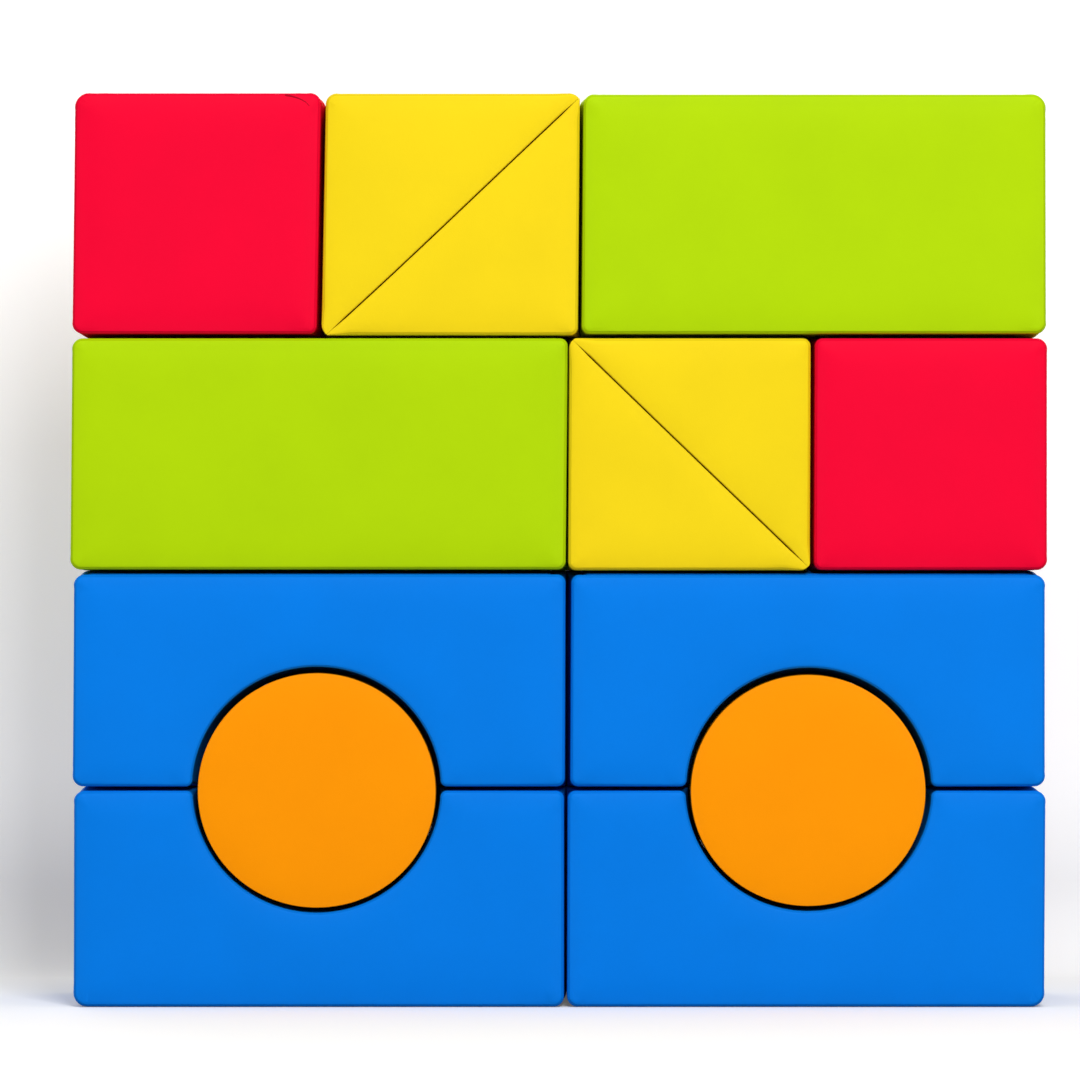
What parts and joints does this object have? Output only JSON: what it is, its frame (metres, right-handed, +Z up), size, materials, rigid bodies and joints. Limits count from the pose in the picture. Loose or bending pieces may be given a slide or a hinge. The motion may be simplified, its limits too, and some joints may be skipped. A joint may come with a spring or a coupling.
{
  "type": "giant building block set",
  "caption": "Giant soft-play building blocks stacked as a wall: foam cubes, bricks, wedges and tunnel arches with cylinders in them, each in a zipped wipe-clean cover.",
  "frame": {"origin": "on the floor, under the middle of the stacked wall", "axes": "+Z up, +X to the right as seen from the front, front faces towards -Y"},
  "size_m": [1.2, 0.3, 1.1259],
  "materials": {
    "red_vinyl": "satin, fine grain, vinyl-coated cloth",
    "yellow_vinyl": "satin, fine grain, vinyl-coated cloth",
    "green_vinyl": "satin, fine grain, vinyl-coated cloth",
    "blue_vinyl": "satin, fine grain, vinyl-coated cloth",
    "orange_vinyl": "satin, fine grain, vinyl-coated cloth",
    "foam": "open-cell foam, cut faces",
    "zip_tape": "woven tape, nylon coil",
    "slider_metal": "tumbled zinc casting"
  },
  "bodies": {
    "top_cube": {"top_cube_foam": "foam", "top_cube_cover": "red_vinyl", "top_cube_zip": "zip_tape"},
    "top_cube_zip_slider": {"top_cube_slider": "slider_metal"},
    "top_upper_wedge": {"top_upper_wedge_foam": "foam", "top_upper_wedge_cover": "yellow_vinyl", "top_upper_wedge_zip": "zip_tape"},
    "top_upper_wedge_zip_slider": {"top_upper_wedge_slider": "slider_metal"},
    "top_lower_wedge": {"top_lower_wedge_foam": "foam", "top_lower_wedge_cover": "yellow_vinyl", "top_lower_wedge_zip": "zip_tape"},
    "top_lower_wedge_zip_slider": {"top_lower_wedge_slider": "slider_metal"},
    "top_brick": {"top_brick_foam": "foam", "top_brick_cover": "green_vinyl", "top_brick_zip": "zip_tape"},
    "top_brick_zip_slider": {"top_brick_slider": "slider_metal"},
    "middle_brick": {"middle_brick_foam": "foam", "middle_brick_cover": "green_vinyl", "middle_brick_zip": "zip_tape"},
    "middle_brick_zip_slider": {"middle_brick_slider": "slider_metal"},
    "middle_lower_wedge": {"middle_lower_wedge_foam": "foam", "middle_lower_wedge_cover": "yellow_vinyl", "middle_lower_wedge_zip": "zip_tape"},
    "middle_lower_wedge_zip_slider": {"middle_lower_wedge_slider": "slider_metal"},
    "middle_upper_wedge": {"middle_upper_wedge_foam": "foam", "middle_upper_wedge_cover": "yellow_vinyl", "middle_upper_wedge_zip": "zip_tape"},
    "middle_upper_wedge_zip_slider": {"middle_upper_wedge_slider": "slider_metal"},
    "middle_cube": {"middle_cube_foam": "foam", "middle_cube_cover": "red_vinyl", "middle_cube_zip": "zip_tape"},
    "middle_cube_zip_slider": {"middle_cube_slider": "slider_metal"},
    "left_upper_arch": {"left_upper_arch_foam": "foam", "left_upper_arch_cover": "blue_vinyl", "left_upper_arch_zip": "zip_tape", "left_upper_arch_panel": "blue_vinyl"},
    "left_upper_arch_zip_slider": {"left_upper_arch_slider": "slider_metal"},
    "left_lower_arch": {"left_lower_arch_foam": "foam", "left_lower_arch_cover": "blue_vinyl", "left_lower_arch_zip": "zip_tape", "left_lower_arch_panel": "blue_vinyl"},
    "left_lower_arch_zip_slider": {"left_lower_arch_slider": "slider_metal"},
    "right_upper_arch": {"right_upper_arch_foam": "foam", "right_upper_arch_cover": "blue_vinyl", "right_upper_arch_zip": "zip_tape", "right_upper_arch_panel": "blue_vinyl"},
    "right_upper_arch_zip_slider": {"right_upper_arch_slider": "slider_metal"},
    "right_lower_arch": {"right_lower_arch_foam": "foam", "right_lower_arch_cover": "blue_vinyl", "right_lower_arch_zip": "zip_tape", "right_lower_arch_panel": "blue_vinyl"},
    "right_lower_arch_zip_slider": {"right_lower_arch_slider": "slider_metal"},
    "left_cylinder": {"left_cylinder_foam": "foam", "left_cylinder_cover": "orange_vinyl", "left_cylinder_zip": "zip_tape"},
    "left_cylinder_zip_slider": {"left_cylinder_slider": "slider_metal"},
    "right_cylinder": {"right_cylinder_foam": "foam", "right_cylinder_cover": "orange_vinyl", "right_cylinder_zip": "zip_tape"},
    "right_cylinder_zip_slider": {"right_cylinder_slider": "slider_metal"}
  },
  "joints": [
    {"name": "top_cube_lift", "type": "slide", "parent": "left_lower_arch", "child": "top_cube", "axis": [0, 0, 1], "range_m": [0, 0.32]},
    {"name": "top_upper_wedge_lift", "type": "slide", "parent": "left_lower_arch", "child": "top_upper_wedge", "axis": [0, 0, 1], "range_m": [0, 0.32]},
    {"name": "top_brick_lift", "type": "slide", "parent": "left_lower_arch", "child": "top_brick", "axis": [0, 0, 1], "range_m": [0, 0.32]},
    {"name": "top_lower_wedge_pull", "type": "slide", "parent": "left_lower_arch", "child": "top_lower_wedge", "axis": [0, 1, 0], "range_m": [-0.32, 0.32]},
    {"name": "middle_brick_pull", "type": "slide", "parent": "left_lower_arch", "child": "middle_brick", "axis": [0, 1, 0], "range_m": [-0.32, 0.32]},
    {"name": "middle_lower_wedge_pull", "type": "slide", "parent": "left_lower_arch", "child": "middle_lower_wedge", "axis": [0, 1, 0], "range_m": [-0.32, 0.32]},
    {"name": "middle_upper_wedge_pull", "type": "slide", "parent": "left_lower_arch", "child": "middle_upper_wedge", "axis": [0, 1, 0], "range_m": [-0.32, 0.32]},
    {"name": "middle_cube_pull", "type": "slide", "parent": "left_lower_arch", "child": "middle_cube", "axis": [0, 1, 0], "range_m": [-0.32, 0.32]},
    {"name": "left_upper_arch_pull", "type": "slide", "parent": "left_lower_arch", "child": "left_upper_arch", "axis": [0, 1, 0], "range_m": [-0.32, 0.32]},
    {"name": "right_upper_arch_pull", "type": "slide", "parent": "left_lower_arch", "child": "right_upper_arch", "axis": [0, 1, 0], "range_m": [-0.32, 0.32]},
    {"name": "right_lower_arch_pull", "type": "slide", "parent": "left_lower_arch", "child": "right_lower_arch", "axis": [0, 1, 0], "range_m": [-0.32, 0.32]},
    {"name": "left_cylinder_roll", "type": "hinge", "parent": "left_lower_arch", "child": "left_cylinder", "pos_m": [-0.299, 0, 0.26445], "axis": [0, 1, 0], "continuous": true},
    {"name": "right_cylinder_roll", "type": "hinge", "parent": "right_lower_arch", "child": "right_cylinder", "pos_m": [0.30625, 0, 0.26445], "axis": [0, 1, 0], "continuous": true},
    {"name": "top_cube_zip_run", "type": "slide", "parent": "top_cube", "child": "top_cube_zip_slider", "axis": [1, 0, 0], "range_m": [0, 0.19]},
    {"name": "top_upper_wedge_zip_run", "type": "slide", "parent": "top_upper_wedge", "child": "top_upper_wedge_zip_slider", "axis": [1, 0, 0], "range_m": [0, 0.157]},
    {"name": "top_lower_wedge_zip_run", "type": "slide", "parent": "top_lower_wedge", "child": "top_lower_wedge_zip_slider", "axis": [1, 0, 0], "range_m": [0, 0.157]},
    {"name": "top_brick_zip_run", "type": "slide", "parent": "top_brick", "child": "top_brick_zip_slider", "axis": [1, 0, 0], "range_m": [0, 0.46]},
    {"name": "middle_brick_zip_run", "type": "slide", "parent": "middle_brick", "child": "middle_brick_zip_slider", "axis": [1, 0, 0], "range_m": [0, 0.498]},
    {"name": "middle_lower_wedge_zip_run", "type": "slide", "parent": "middle_lower_wedge", "child": "middle_lower_wedge_zip_slider", "axis": [1, 0, 0], "range_m": [0, 0.142]},
    {"name": "middle_upper_wedge_zip_run", "type": "slide", "parent": "middle_upper_wedge", "child": "middle_upper_wedge_zip_slider", "axis": [1, 0, 0], "range_m": [0, 0.142]},
    {"name": "middle_cube_zip_run", "type": "slide", "parent": "middle_cube", "child": "middle_cube_zip_slider", "axis": [1, 0, 0], "range_m": [0, 0.177]},
    {"name": "left_upper_arch_zip_run", "type": "slide", "parent": "left_upper_arch", "child": "left_upper_arch_zip_slider", "axis": [1, 0, 0], "range_m": [0, 0.493]},
    {"name": "left_lower_arch_zip_run", "type": "slide", "parent": "left_lower_arch", "child": "left_lower_arch_zip_slider", "axis": [1, 0, 0], "range_m": [0, 0.493]},
    {"name": "right_upper_arch_zip_run", "type": "slide", "parent": "right_upper_arch", "child": "right_upper_arch_zip_slider", "axis": [1, 0, 0], "range_m": [0, 0.474]},
    {"name": "right_lower_arch_zip_run", "type": "slide", "parent": "right_lower_arch", "child": "right_lower_arch_zip_slider", "axis": [1, 0, 0], "range_m": [0, 0.474]},
    {"name": "left_cylinder_zip_run", "type": "slide", "parent": "left_cylinder", "child": "left_cylinder_zip_slider", "axis": [1, 0, 0], "range_m": [0, 0.182]},
    {"name": "right_cylinder_zip_run", "type": "slide", "parent": "right_cylinder", "child": "right_cylinder_zip_slider", "axis": [1, 0, 0], "range_m": [0, 0.178]}
  ]
}
